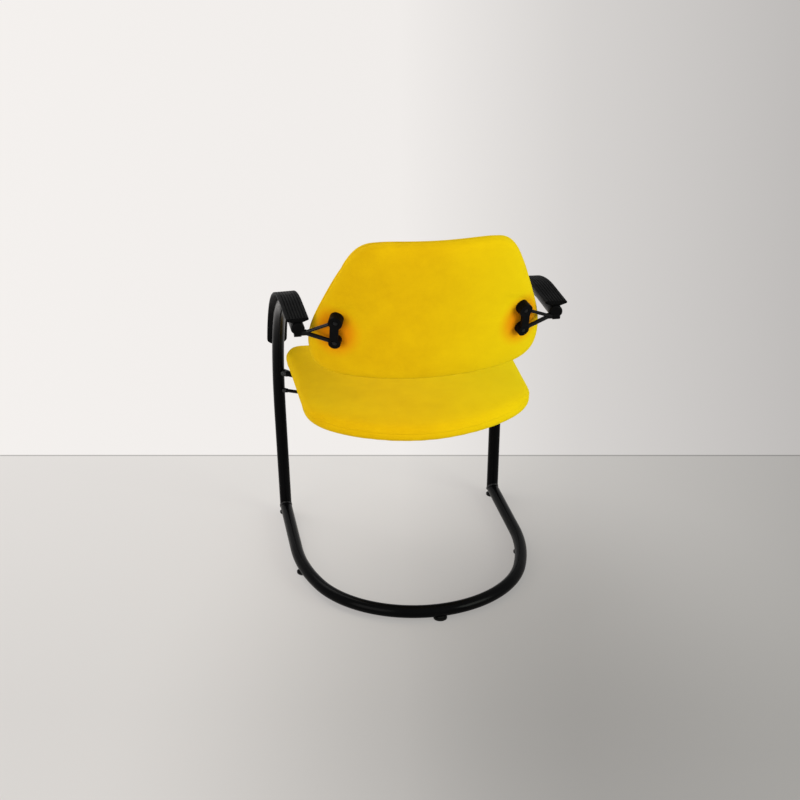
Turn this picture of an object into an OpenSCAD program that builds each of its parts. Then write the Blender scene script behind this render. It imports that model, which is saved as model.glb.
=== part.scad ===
// Conference chair on a cantilevered tube frame, with arms and a tilting upholstered back.
// Millimetres. +Z is up, the sitter faces -Y, and the sitter's left hand is at +X.
// The origin lies on the floor under the middle of the chair.

/* [Frame tube] */
// Half the distance between the floor runners, from tube axis to the middle
frame_half_w = 260; // [250:1:275]
// Outside diameter of the frame tube
tube_d = 28; // [26:0.5:30]
// Wall thickness of the frame tube
tube_wall = 2; // [1.5:0.1:3]
// Gap under the floor tube, which the glides fill
floor_gap = 6; // [5:0.5:9]
// Straight length of each floor runner
runner_l = 230; // [200:1:260]
// How much larger than half the frame's width the bend of the long side sweeps is
side_bend_extra = 234; // [200:1:300]
// How far the rear bend of the floor tube stays inside the line of the runners
rear_bend_inset = 16; // [12:1:35]
// Height at which the upright starts to sweep back
upright_bend_z = 270; // [255:1:285]
// Radius of the sweep from the upright to the armrest
arm_bend_r = 392; // [380:1:404]
// Straight length of the arm tube behind the sweep
arm_tail_l = 92; // [84:1:98]
// Outward lean of the uprights
splay_angle = 1.1; // [0.8:0.1:1.4]
// Inward turn of the armrests towards the back
toe_angle = 0.6; // [0.3:0.1:0.9]

/* [Glides] */
// Diameter of a floor glide
glide_d = 30; // [24:1:34]
// Thickness of the glide's flat foot
glide_foot_t = 4; // [3:0.5:5]
// Diameter of the peg that holds a glide in the tube
glide_peg_d = 7; // [5:0.5:9]

/* [Armrest pads] */
// Width of an armrest pad
pad_w = 46; // [40:1:50]
// Height of the pad above the tube
pad_rise = 8.5; // [6:0.5:11]
// Thickness of the pad at its long edges
pad_edge_t = 5; // [3.5:0.5:6]
// Angle of the sweep at which the pad's front drop begins
pad_start_angle = 27.5; // [20:0.5:40]
// Length of the pad behind the sweep
pad_tail_l = 104; // [100:1:110]

/* [Back pivots] */
// Drop of the tilt axis below the arm tube's axis
pivot_drop = 8.88; // [8:0.02:10]
// Distance of the tilt axis behind the end of the arm tube
pivot_reach = 9.5; // [9:0.1:10.5]
// Diameter of a pivot pin
pin_d = 7; // [5:0.5:7.5]
// Diameter of the barrel under the end of each arm, which holds the pivot
barrel_d = 16; // [15:0.25:17]
// Diameter of the upper steel rod of the back links
upper_rod_d = 7; // [6:0.5:8]
// Diameter of the lower steel rod of the back links
lower_rod_d = 9; // [7:0.5:10]

/* [Back] */
// Height of the back along its slope
back_h = 330; // [310:1:345]
// How far the widest part of the back stays inside the frame's half width
back_wide_inset = 13; // [11:1:20]
// How far the top of the back stays inside the frame's half width
back_top_inset = 100; // [80:1:115]
// How far the bottom of the back stays inside the frame's half width
back_bottom_inset = 26; // [20:1:40]
// Thickness of the upholstered back
back_t = 56; // [52:1:64]
// Recline of the back from upright
back_recline = 20; // [17:0.5:22]
// Radius of the back's curve around the sitter
back_curve_r = 560; // [520:5:620]
// Thickness of the moulded plywood shell in the back
back_shell_t = 12; // [10:0.5:13]

/* [Seat] */
// Depth of the seat cushion
seat_depth = 432; // [415:1:438]
// How far the rear of the seat stays inside the frame's half width
seat_rear_inset = 4; // [-2:1:15]
// How far the middle of the seat stays inside the frame's half width
seat_mid_inset = 13; // [8:1:20]
// How far the front of the seat passes the frame's half width
seat_front_extra = 6; // [-10:1:10]
// Thickness of the seat cushion
seat_t = 64; // [56:1:68]
// Thickness of the moulded plywood seat shell
seat_shell_t = 12; // [9:0.5:14]
// Rise of the seat towards the front
seat_slope = 2; // [1:0.1:4]
// Diameter of the bowed tube under the seat
cross_tube_d = 14; // [12:0.5:18]
// Diameter of the brace rod under the seat
brace_rod_d = 8; // [7:0.5:10]

/* [Hidden] */
$fn = 64;
bend_facets = 240;
shell_facets = 480;

// Clearances and overruns
middle_y = 296.7;
fit_gap = 0.05;
soft_gap = 0.3;
cut_over = 2;
frame_black = [0.07, 0.07, 0.08];
rubber_black = [0.11, 0.11, 0.12];
wool_yellow = [0.90, 0.74, 0.05];
ply_wood = [0.72, 0.55, 0.36];
zinc_grey = [0.62, 0.63, 0.65];

// Frame tube
tube_r = tube_d / 2;
bore_r = tube_r - tube_wall;
side_bend_r = frame_half_w + side_bend_extra;
rear_bend_r = frame_half_w - rear_bend_inset;
tube_z = floor_gap + tube_r;
upright_l = upright_bend_z - tube_z;
arm_z = upright_l + arm_bend_r;
side_bend_angle = acos((side_bend_r - frame_half_w) / (side_bend_r - rear_bend_r));
rear_bend_y = runner_l + (side_bend_r - rear_bend_r) * sin(side_bend_angle);
weld_proud = 1;
weld_w = 4;

// Glides
side_glide_angle = 9;
rear_glide_turn = 3;
glide_saddle_w = 15;
glide_round = 1.5;
glide_peg_l = 6;

// Armrest pads
pad_wrap = 1.5;
pad_channel_half_w = 9;
pad_round = 2;
pad_grooves = 6;
pad_groove_depth = 1.1;
pad_corner_r = 12;
pad_corner_in = 0.97 * pad_corner_r;
pad_screw_d = 5;
pad_screw_head_d = 9.5;
pad_screw_head_t = 3;
pad_screw_bite = 5;
pad_screw_turns = [67, 87];

// Arm end, bush, pin, clip and cap, with places along the pivot axis from the middle
arm_end_x = frame_half_w + arm_z * sin(splay_angle) * cos(toe_angle) - (arm_bend_r + arm_tail_l) * sin(toe_angle);
pivot_y = arm_bend_r + arm_tail_l + pivot_reach;
pivot_z = tube_z + arm_z * cos(splay_angle) - pivot_drop;
spigot_l = 30;
end_cap_t = 15;
end_cap_round = 4;
lug_w = 14.5;
lug_lead = 8;
lug_x = arm_end_x + lug_lead - lug_w;
bush_d = 10;
bush_flange_d = 12.5;
bush_flange_t = 1.5;
bush_l = 8.5;
pocket_x = lug_x + bush_l;
pocket_d = 10.5;
clip_d = 9.5;
clip_t = 1.2;
groove_depth = 0.8;
pin_end_x = pocket_x + soft_gap + 2.5 * clip_t;
cap_x = pin_end_x + soft_gap;
cap_t = lug_x + lug_w - cap_x + soft_gap;
eye_d = 12.5;
eye_l = 9;
eye_x = lug_x - bush_flange_t - soft_gap - eye_l;
eye_relief = 1.5;
pin_root = 6;

// Back form, in its own frame: across, behind the curve, and up the slope
back_wide_half_w = frame_half_w - back_wide_inset;
back_top_half_w = frame_half_w - back_top_inset;
back_bottom_half_w = frame_half_w - back_bottom_inset;
back_lead = 20.5;
back_hang = 114.7;
back_y = pivot_y - back_lead;
back_z = pivot_z - back_hang;
back_wide_rise = 111;
back_blend = 40;
back_arch = 4;
back_lumbar = 8;
back_top_power = 7;
back_bottom_power = 6.5;
back_shell_front = 4;
back_shell_share = 0.86;
back_recess_share = 0.88;
recess_rings = 6;
recess_gap = 3.6;
back_seam_share = 0.93;
cushion_sides = 48;
turn_step = 360 / cushion_sides;
cushion_reach_shares = [0.25, 0.5, 0.7, 0.82, 0.9, 0.955, 0.985];

// Back brackets
bracket_inset = 75.5;
bracket_x = frame_half_w - bracket_inset;
bracket_rise = 124.5;
lobe_pitch = 52;
lobe_upper_d = 29.5;
lobe_lower_d = 25.5;
bracket_web_in = 7;
bracket_web_out = 10.5;
bracket_plate_t = 7;
bracket_reach = 36;
back_screw_d = 6;
back_screw_head_d = 8.5;
back_screw_head_t = 3.4;
screw_sink = 5;
washer_d = 10.5;
washer_t = 1.2;
tee_barrel_d = 9;
tee_flange_d = 20;
tee_flange_t = 1.5;
socket_depth = 7;
socket_level = 30.5;
link_upper_inset = 3.5;
link_lower_inset = 2;

// Seat form, in its own frame: across, towards the front, and up from the shell's underside
seat_rear_half_w = frame_half_w - seat_rear_inset;
seat_mid_half_w = frame_half_w - seat_mid_inset;
seat_front_half_w = frame_half_w + seat_front_extra;
seat_y = 491.7;
seat_z = 377.1;
seat_dish = 20;
seat_roll = 18;
seat_roll_start = 0.4;
seat_rear_sweep = 71;
seat_rear_power = 7;
seat_front_power = 7;
seat_shell_share = 0.8;
seat_recess_share = 0.82;
seat_curve_r = seat_mid_half_w * seat_mid_half_w / (2 * seat_dish);

// Seat supports
bearer_x = 110;
bearer_w = 30;
bearer_t = 18;
bearer_wall = 2;
bearer_front = 398;
bearer_rear = 100;
bearer_turn = asin(bearer_x / seat_curve_r);
cross_bow = 110;
cross_y = 15;
cross_lean = 6;
cross_half_w = frame_half_w + cross_lean;
cross_bow_r = (cross_half_w * cross_half_w + cross_bow * cross_bow) / (2 * cross_bow);
cross_turn = asin(cross_half_w / cross_bow_r);
cross_z = 381;
cross_wall = 2;
brace_y = 6;
brace_z = 331;
brace_leg_inset = 120;
brace_leg_angle = 53.13;
brace_bend_x = frame_half_w - brace_leg_inset;
brace_bend_r = brace_bend_x / sin(brace_leg_angle);
brace_leg_l = (cross_half_w - brace_bend_x) / cos(brace_leg_angle);
brace_bend_y = brace_leg_l * sin(brace_leg_angle) - brace_bend_r * cos(brace_leg_angle);
brace_reach = brace_bend_y + brace_bend_r;
brace_top = seat_z + (seat_y - brace_y - brace_reach) * tan(seat_slope) - brace_rod_d / 2 - soft_gap;
brace_tilt = asin((brace_top - brace_z) / brace_reach);
collar_l = 6;
collar_grow = 2;
seat_screw_d = 6;
seat_screw_head_d = 12;
seat_screw_head_t = 3.5;
seat_screw_places = [0.336 * seat_depth, 0.822 * seat_depth];

// Signed power, which squares off a circle into a rounded box
function spow(v, e) = sign(v) * pow(abs(v), e);

// Smooth ramp that is 0 well below t = 0 and t well above it
function ramp(t, s) = (t + sqrt(t * t + s * s)) / 2;

// Thickness of a cushion at a share of its reach from the middle to the rim
function crown(r) = pow(1 - pow(r, 4), 0.25);

// Outline of the back: across and up, at an angle and a share of its reach
function back_rise(a, r) =
    back_h / 2 * (1 + r * spow(sin(a), 2 / (sin(a) > 0 ? back_top_power : back_bottom_power)));
function back_half_w(w) = back_wide_half_w
    - (back_wide_half_w - back_top_half_w) * ramp(w - back_wide_rise, back_blend) / (back_h - back_wide_rise)
    - (back_wide_half_w - back_bottom_half_w) * ramp(back_wide_rise - w, back_blend) / back_wide_rise;
function back_across(a, r) =
    back_half_w(back_rise(a, r)) * r * spow(cos(a), 2 / (sin(a) > 0 ? back_top_power : back_bottom_power));

// Depth of the back's middle surface behind its chord, curved round the sitter and at the loins
function back_mid(u, w) = sqrt(back_curve_r * back_curve_r - u * u) - back_curve_r
    + back_lumbar * pow(2 * w / back_h - 1, 2);
function back_ring(r, offset) = [for (i = [0:cushion_sides - 1])
    let (a = turn_step * i, u = back_across(a, r), w = back_rise(a, r))
    [u, back_mid(u, w) + offset, w + back_arch * (1 - pow(u / back_wide_half_w, 2)) * w / back_h]];
function back_flat_ring(r, depth) = [for (i = [0:cushion_sides - 1])
    let (a = turn_step * i, u = back_across(a, r), w = back_rise(a, r))
    [u, sqrt(pow(back_curve_r + depth, 2) - u * u) - back_curve_r, w]];

// Outline of the seat: across and towards the front, at an angle and a share of its reach
function seat_reach(a, r) =
    seat_depth / 2 * (1 + r * spow(sin(a), 2 / (sin(a) > 0 ? seat_front_power : seat_rear_power)));
function seat_half_w(t) = seat_rear_half_w * (1 - t) * (1 - 2 * t) + 4 * seat_mid_half_w * t * (1 - t)
    + seat_front_half_w * t * (2 * t - 1);
function seat_across(a, r) = seat_half_w(seat_reach(a, r) / seat_depth) * r
    * spow(cos(a), 2 / (sin(a) > 0 ? seat_front_power : seat_rear_power));
function seat_plan(a, r) =
    let (u = seat_across(a, r), s = seat_reach(a, r))
    [u, -s - seat_rear_sweep * pow(u / seat_mid_half_w, 2) * (1 - s / seat_depth)];
function seat_lift(u) = seat_curve_r - sqrt(seat_curve_r * seat_curve_r - u * u);

// Extra height of the cushion's top towards the front of the seat
function seat_rise(a, r) =
    seat_roll * crown(r) * pow(max(0, seat_reach(a, r) / seat_depth - seat_roll_start) / (1 - seat_roll_start), 2);
function seat_ring(r, height, rise = 0) = [for (i = [0:cushion_sides - 1])
    let (a = turn_step * i, p = seat_plan(a, r))
    [p[0], p[1], height + seat_lift(p[0]) + rise * seat_rise(a, r)]];

// Places on the back in the chair's frame
function back_world(p) = [p[0],
    back_y + p[2] * sin(back_recline) + p[1] * cos(back_recline),
    back_z + p[2] * cos(back_recline) - p[1] * sin(back_recline)];
bracket_turn = asin(bracket_x / back_curve_r);
function bracket_world(p) = back_world([
    (back_curve_r + p[1]) * sin(bracket_turn) + p[0] * cos(bracket_turn),
    (back_curve_r + p[1]) * cos(bracket_turn) - back_curve_r - p[0] * sin(bracket_turn),
    p[2] + bracket_rise]);

// Ends of the link rods: the eye on the pivot axis, and the sockets in the bracket's lobes
link_eye = [eye_x + eye_l / 2, pivot_y, pivot_z];
link_upper = bracket_world([socket_depth, socket_level, lobe_pitch / 2 - link_upper_inset]);
link_lower = bracket_world([socket_depth, socket_level, link_lower_inset - lobe_pitch / 2]);

module on_chair() {
    translate([0, -middle_y, 0]) children();
}

module on_side(side) {
    if (side > 0) on_chair() children();
    if (side < 0) on_chair() mirror([1, 0, 0]) children();
}

// Frame of one arm: origin where the upright's axis meets the runner's axis
module on_arm() {
    translate([frame_half_w, 0, tube_z]) rotate([0, 0, toe_angle]) rotate([0, splay_angle, 0]) children();
}

// Frame of the arm's sweep: X runs out from its centre, and angle 0 is the top of the upright
module on_sweep() {
    on_arm() translate([0, arm_bend_r, upright_l]) rotate([90, 0, -90]) children();
}

// Straight length of tube that follows the arm's sweep closely at a height above the floor
module arm_stretch(height, r) {
    on_sweep() rotate([0, 0, asin((height - upright_bend_z) / arm_bend_r)]) translate([arm_bend_r, 0, 0])
        rotate([90, 0, 0]) cylinder(h = 2 * tube_d, r = r, center = true);
}

module on_back() {
    translate([0, back_y, back_z]) rotate([-back_recline, 0, 0]) children();
}

// Frame of a bracket: Y stands out square from the shell's curve, behind the given place
module on_bracket() {
    on_back() translate([0, -back_curve_r, bracket_rise]) rotate([0, 0, -bracket_turn])
        translate([0, back_curve_r, 0]) children();
}

module on_seat() {
    translate([0, seat_y, seat_z]) rotate([-seat_slope, 0, 0]) children();
}

// Frame of a seat bearer: Z stands square to the shell's curved underside
module on_bearer(side) {
    on_seat() translate([0, 0, seat_curve_r]) rotate([0, -side * bearer_turn, 0])
        translate([0, 0, -seat_curve_r]) children();
}

// Straight round bar from one point to another
module bar(from, to, r) {
    run = to - from;
    l = norm(run);
    translate(from) rotate([0, acos(run[2] / l), atan2(run[1], run[0])]) cylinder(h = l, r = r);
}

// Bar along the pivot axis between two places, as a disc, washer or pin
module axle(x0, x1, d) {
    translate([x0, pivot_y, pivot_z]) rotate([0, 90, 0]) cylinder(h = x1 - x0, d = d);
}

// Stack of closed rings joined by triangles that lean either way, with a fan at each end
module ring_stack(rings, lean = 0) {
    n = len(rings[0]);
    m = len(rings);
    first = [for (k = [0:2]) [for (p = rings[0]) p[k]] * [for (p = rings[0]) 1] / n];
    last = [for (k = [0:2]) [for (p = rings[m - 1]) p[k]] * [for (p = rings[m - 1]) 1] / n];
    walls = [for (j = [0:m - 2]) for (i = [0:n - 1]) for (t = [0, 1])
        t == 0 ? [j * n + i, (j + 1) * n + i, (j + lean == j + 1 ? j : j + 1) * n + (i + 1) % n]
            : [(j + lean) * n + i, (j + 1) * n + (i + 1) % n, j * n + (i + 1) % n]];
    ends = [for (i = [0:n - 1]) for (t = [0, 1])
        t == 0 ? [m * n, i, (i + 1) % n] : [m * n + 1, (m - 1) * n + (i + 1) % n, (m - 1) * n + i]];
    polyhedron(points = concat([for (r = rings) for (p = r) p], [first, last]), faces = concat(walls, ends));
}

// Round bar bent a quarter turn about +Z, from the X axis
module quarter_bend(bend_r, r) {
    rotate_extrude(angle = 90, $fn = bend_facets) translate([bend_r, 0]) circle(r = r, $fn = 64);
}

// Half ring in front of the X axis with both ends cut away up to an angle
module trimmed_bend(bend_r, angle, r) {
    difference() {
        rotate_extrude(angle = 180, $fn = bend_facets) translate([bend_r, 0]) circle(r = r, $fn = 64);
        for (s = [0, 1]) mirror([s, 0, 0]) rotate([0, 0, angle - 90]) translate([0, 0, -bend_r]) cube(2 * bend_r);
    }
}

// Floor tube: two runners, two long side sweeps and the rear bend
module floor_path(r, front_run) {
    for (s = [0, 1]) mirror([s, 0, 0]) {
        translate([frame_half_w, -front_run, tube_z]) rotate([-90, 0, 0]) cylinder(h = runner_l + front_run, r = r);
        translate([frame_half_w - side_bend_r, runner_l, tube_z]) difference() {
            quarter_bend(side_bend_r, r);
            rotate([0, 0, side_bend_angle]) translate([0, 0, -side_bend_r]) cube(2 * side_bend_r);
        }
    }
    translate([0, rear_bend_y, tube_z]) trimmed_bend(rear_bend_r, side_bend_angle, r);
}

// Half space on one side of the mitre between a runner and its upright
module mitre_cut(side) {
    block = 6 * tube_r;
    translate([frame_half_w, 0, tube_z]) rotate([-45, 0, 0])
        translate([-block / 2, side > 0 ? 0 : -block, -block / 2]) cube(block);
}

module on_side_glide() {
    translate([frame_half_w - side_bend_r, runner_l, 0]) rotate([0, 0, side_glide_angle])
        translate([side_bend_r, 0, 0]) children();
}

module on_rear_glide() {
    translate([0, rear_bend_y, 0]) rotate([0, 0, 90 + rear_glide_turn]) translate([rear_bend_r, 0, 0]) children();
}

// Hole for a glide's peg through the underside of the floor tube
module peg_hole() {
    cylinder(h = tube_z, d = glide_peg_d + 2 * fit_gap);
}

module floor_tube() {
    color(frame_black) on_chair() difference() {
        floor_path(tube_r, tube_d);
        floor_path(bore_r, tube_d + cut_over);
        for (s = [0, 1]) mirror([s, 0, 0]) {
            mitre_cut(-1);
            translate([frame_half_w, 0, 0]) peg_hole();
            on_side_glide() peg_hole();
        }
        on_rear_glide() peg_hole();
    }
}

// Upright, sweep and straight tail of one arm
module arm_path(r, over) {
    on_arm() translate([0, 0, -tube_d - over]) cylinder(h = upright_l + tube_d + over, r = r);
    on_sweep() quarter_bend(arm_bend_r, r);
    on_arm() translate([0, arm_bend_r, arm_z]) rotate([-90, 0, 0]) cylinder(h = arm_tail_l + over, r = r);
}

module pad_screw_shape(gap) {
    for (a = pad_screw_turns) on_sweep() rotate([0, 0, a]) {
        translate([arm_bend_r - tube_r - cut_over, 0, 0]) rotate([0, 90, 0])
            cylinder(h = tube_d + cut_over + pad_screw_bite, d = pad_screw_d + 2 * gap);
    }
}

module arm_tube(side) {
    color(frame_black) on_side(side) difference() {
        arm_path(tube_r, 0);
        arm_path(bore_r, cut_over);
        mitre_cut(1);
        pad_screw_shape(fit_gap);
    }
}

// Straight ends of a runner and its upright at one front corner
module corner_runner(r) {
    translate([frame_half_w, -tube_d, tube_z]) rotate([-90, 0, 0]) cylinder(h = 3 * tube_d, r = r);
}

module corner_upright(r) {
    on_arm() translate([0, 0, -tube_d]) cylinder(h = 3 * tube_d, r = r);
}

// Weld bead round the mitre at one front corner
module weld_bead() {
    difference() {
        intersection() {
            union() {
                difference() {
                    corner_runner(tube_r + weld_proud);
                    mitre_cut(-1);
                }
                difference() {
                    corner_upright(tube_r + weld_proud);
                    mitre_cut(1);
                }
            }
            translate([frame_half_w, 0, tube_z]) rotate([-45, 0, 0])
                cube([2 * tube_d, weld_w, 2 * tube_d], center = true);
        }
        corner_runner(tube_r + fit_gap);
        corner_upright(tube_r + fit_gap);
    }
}

// Weld collar along +Z round a rod of radius r that leaves the upright at an angle to square
module weld_collar(r, turn) {
    l = r * tan(turn) + collar_l;
    difference() {
        cylinder(h = l, r1 = r + collar_grow, r2 = r + weld_proud, center = true);
        cylinder(h = l + cut_over, r = r + soft_gap, center = true);
    }
}

module frame_welds() {
    color(frame_black) for (s = [-1, 1]) on_side(s) {
        weld_bead();
        difference() {
            translate([0, cross_y + cross_bow - cross_bow_r, cross_z])
                rotate([0, 0, 90 - cross_turn + asin(tube_r / cos(cross_turn) / cross_bow_r)])
                    translate([cross_bow_r, 0, 0]) rotate([-90, 0, 0]) weld_collar(cross_tube_d / 2, cross_turn);
            arm_stretch(cross_z, tube_r + soft_gap);
        }
        difference() {
            translate([0, brace_y, brace_z]) rotate([brace_tilt, 0, 0]) translate([cross_half_w, 0, 0])
                rotate([0, 0, -brace_leg_angle]) rotate([0, -90, 0])
                    translate([0, 0, tube_r / cos(brace_leg_angle)]) weld_collar(brace_rod_d / 2, brace_leg_angle);
            arm_stretch(brace_z, tube_r + soft_gap);
        }
    }
}

// Glide under the tube: a round foot, a saddle hollowed for the tube, and a peg into the tube
module glide() {
    difference() {
        union() {
            rotate_extrude() {
                square([glide_d / 2 - glide_round, glide_foot_t]);
                translate([0, glide_round]) square([glide_d / 2, glide_foot_t - glide_round]);
                translate([glide_d / 2 - glide_round, glide_round]) circle(r = glide_round);
            }
            translate([-glide_saddle_w / 2, -glide_saddle_w / 2, glide_foot_t - glide_round])
                cube([glide_saddle_w, glide_saddle_w, floor_gap - glide_foot_t + 2 * glide_round]);
        }
        translate([0, -tube_d, tube_z]) rotate([-90, 0, 0]) cylinder(h = 2 * tube_d, r = tube_r + fit_gap);
    }
    cylinder(h = floor_gap + glide_peg_l, d = glide_peg_d);
}

module front_glide(side) {
    color(rubber_black) on_side(side) translate([frame_half_w, 0, 0]) glide();
}

module side_glide(side) {
    color(rubber_black) on_side(side) on_side_glide() glide();
}

module rear_glide() {
    color(rubber_black) on_chair() on_rear_glide() glide();
}

// Cross-section of an armrest pad: out from the sweep's centre, and across
module pad_profile() {
    low = tube_r - pad_wrap;
    high = tube_r + pad_rise;
    half = pad_w / 2;
    pitch = (pad_w - 2 * pad_round) / (pad_grooves + 1);
    ribs = [for (i = [0:pad_grooves - 1]) for (e = [[0, -1], [-1, -0.5], [-1, 0.5], [0, 1]])
        [high + e[0] * pad_groove_depth, (i + (1 - pad_grooves) / 2) * pitch + e[1] * pad_groove_depth]];
    difference() {
        polygon(concat([[low, -pad_channel_half_w], [high - pad_edge_t, -half], [high - pad_round, -half],
            [high, pad_round - half]], ribs, [[high, half - pad_round], [high - pad_round, half],
            [high - pad_edge_t, half], [low, pad_channel_half_w]]));
        circle(r = tube_r + fit_gap, $fn = 64);
    }
}

// Rounds one lower corner of the pad's front drop
module pad_corner_cut(side) {
    on_sweep() rotate([0, 0, pad_start_angle]) translate([arm_bend_r, 0, 0]) rotate([0, 90, 0])
        translate([-side * (pad_w / 2 - pad_corner_in), pad_corner_in, 0]) difference() {
            translate([side > 0 ? -pad_corner_r - cut_over : 0, -pad_corner_r - cut_over, 0])
                cube([pad_corner_r + cut_over, pad_corner_r + cut_over, 2 * tube_d]);
            translate([0, 0, -cut_over]) cylinder(h = 2 * tube_d + 2 * cut_over, r = pad_corner_r);
        }
}

module arm_pad(side) {
    color(rubber_black) on_side(side) difference() {
        union() {
            on_sweep() difference() {
                rotate_extrude(angle = 90, $fn = bend_facets) translate([arm_bend_r, 0]) pad_profile();
                rotate([0, 0, pad_start_angle - 90]) translate([0, 0, -arm_bend_r]) cube(2 * arm_bend_r);
            }
            on_arm() translate([0, arm_bend_r, arm_z]) rotate([-90, -90, 0])
                linear_extrude(height = pad_tail_l) pad_profile();
        }
        pad_corner_cut(1);
        pad_corner_cut(-1);
        pad_screw_shape(fit_gap);
    }
}

module arm_pad_screws() {
    color(zinc_grey) for (s = [-1, 1]) on_side(s) {
        pad_screw_shape(0);
        for (a = pad_screw_turns) on_sweep() rotate([0, 0, a])
            translate([arm_bend_r - tube_r - pad_screw_head_t - fit_gap, 0, 0]) rotate([0, 90, 0])
                cylinder(h = pad_screw_head_t, d = pad_screw_head_d);
    }
}

// Bowed tube between the uprights, under the front of the seat
module cross_path(r) {
    translate([0, cross_y + cross_bow - cross_bow_r, cross_z]) rotate([0, 0, 90 - cross_turn])
        rotate_extrude(angle = 2 * cross_turn, $fn = bend_facets) translate([cross_bow_r, 0]) circle(r = r, $fn = 64);
}

module seat_cross_tube() {
    color(frame_black) on_chair() difference() {
        cross_path(cross_tube_d / 2);
        cross_path(cross_tube_d / 2 - cross_wall);
        for (s = [0, 1]) mirror([s, 0, 0]) arm_stretch(cross_z, tube_r + soft_gap);
    }
}

// Rod that runs back from the uprights and round under the seat
module brace_path(r) {
    translate([0, brace_y, brace_z]) rotate([brace_tilt, 0, 0]) {
        for (s = [0, 1]) mirror([s, 0, 0]) translate([cross_half_w, 0, 0]) rotate([0, 0, -brace_leg_angle])
            rotate([0, -90, 0]) cylinder(h = brace_leg_l, r = r);
        translate([0, brace_bend_y, 0]) trimmed_bend(brace_bend_r, 90 - brace_leg_angle, r);
    }
}

module seat_brace_rod() {
    color(frame_black) on_chair() difference() {
        brace_path(brace_rod_d / 2);
        for (s = [0, 1]) mirror([s, 0, 0]) arm_stretch(brace_z, tube_r + soft_gap);
    }
}

// Box-section bearer under the seat shell, saddled over the cross tube and the brace rod
module seat_bearer(side) {
    color(frame_black) on_chair() difference() {
        on_bearer(side) difference() {
            translate([-bearer_w / 2, -bearer_front, -bearer_t]) cube([bearer_w, bearer_front - bearer_rear, bearer_t]);
            translate([bearer_wall - bearer_w / 2, -bearer_front - cut_over, bearer_wall - bearer_t])
                cube([bearer_w - 2 * bearer_wall, bearer_front - bearer_rear + 2 * cut_over, bearer_t - 2 * bearer_wall]);
            for (s = seat_screw_places) translate([0, -s, -bearer_t - cut_over])
                cylinder(h = bearer_t + 2 * cut_over, d = seat_screw_d + 2 * fit_gap);
        }
        cross_path(cross_tube_d / 2 + soft_gap);
        brace_path(brace_rod_d / 2 + soft_gap);
    }
}

module seat_shell() {
    half_turn = asin(seat_front_half_w / seat_curve_r);
    color(ply_wood) on_chair() on_seat() difference() {
        intersection() {
            translate([0, 0, seat_curve_r]) rotate([90, 0, 0]) rotate([0, 0, -90 - half_turn])
                rotate_extrude(angle = 2 * half_turn, $fn = shell_facets)
                    translate([seat_curve_r - seat_shell_t, 0]) square([seat_shell_t, seat_depth]);
            translate([0, 0, -seat_t]) linear_extrude(height = 3 * seat_t)
                polygon([for (i = [0:cushion_sides - 1]) seat_plan(turn_step * i, seat_shell_share)]);
        }
        for (side = [-1, 1]) translate([0, 0, seat_curve_r]) rotate([0, -side * bearer_turn, 0])
            translate([0, 0, -seat_curve_r]) for (s = seat_screw_places) translate([0, -s, 0]) {
                translate([0, 0, -cut_over]) cylinder(h = seat_shell_t + 2 * cut_over, d = tee_barrel_d + 2 * fit_gap);
                translate([0, 0, seat_shell_t - tee_flange_t - fit_gap])
                    cylinder(h = tee_flange_t + cut_over, d = tee_flange_d + 2 * fit_gap);
            }
    }
}

// Flanged nut sunk in a plywood shell, with its barrel towards -Z and its flange's top face at 0
module tee_nut(depth, hole_d) {
    difference() {
        union() {
            translate([0, 0, -tee_flange_t]) cylinder(h = tee_flange_t, d = tee_flange_d);
            translate([0, 0, -depth]) cylinder(h = depth, d = tee_barrel_d);
        }
        translate([0, 0, -depth - cut_over]) cylinder(h = depth + 2 * cut_over, d = hole_d + 2 * fit_gap);
    }
}

module seat_tee_nuts() {
    color(zinc_grey) on_chair() for (side = [-1, 1]) on_bearer(side) for (s = seat_screw_places)
        translate([0, -s, seat_shell_t - fit_gap]) tee_nut(seat_shell_t - 4 * fit_gap, seat_screw_d);
}

module seat_screws() {
    color(zinc_grey) on_chair() for (side = [-1, 1]) on_bearer(side) for (s = seat_screw_places)
        translate([0, -s, -bearer_t - fit_gap]) {
            translate([0, 0, -seat_screw_head_t]) cylinder(h = seat_screw_head_t, d = seat_screw_head_d);
            cylinder(h = bearer_t + seat_shell_t - tee_flange_t, d = seat_screw_d);
        }
}

// Crowned cushion with a recess underneath for the shell
module seat_cushion() {
    half = seat_t / 2;
    color(wool_yellow) on_chair() on_seat() ring_stack(concat(
        [for (r = cushion_reach_shares) seat_ring(r, half + half * crown(r), 1)],
        [seat_ring(1, half)],
        [for (i = [len(cushion_reach_shares) - 1:-1:4])
            seat_ring(cushion_reach_shares[i], half - half * crown(cushion_reach_shares[i]))],
        [seat_ring(seat_recess_share, 0)], [for (k = [recess_rings:-1:1])
            seat_ring(seat_recess_share * k / recess_rings, seat_shell_t + soft_gap)]));
}

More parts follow.
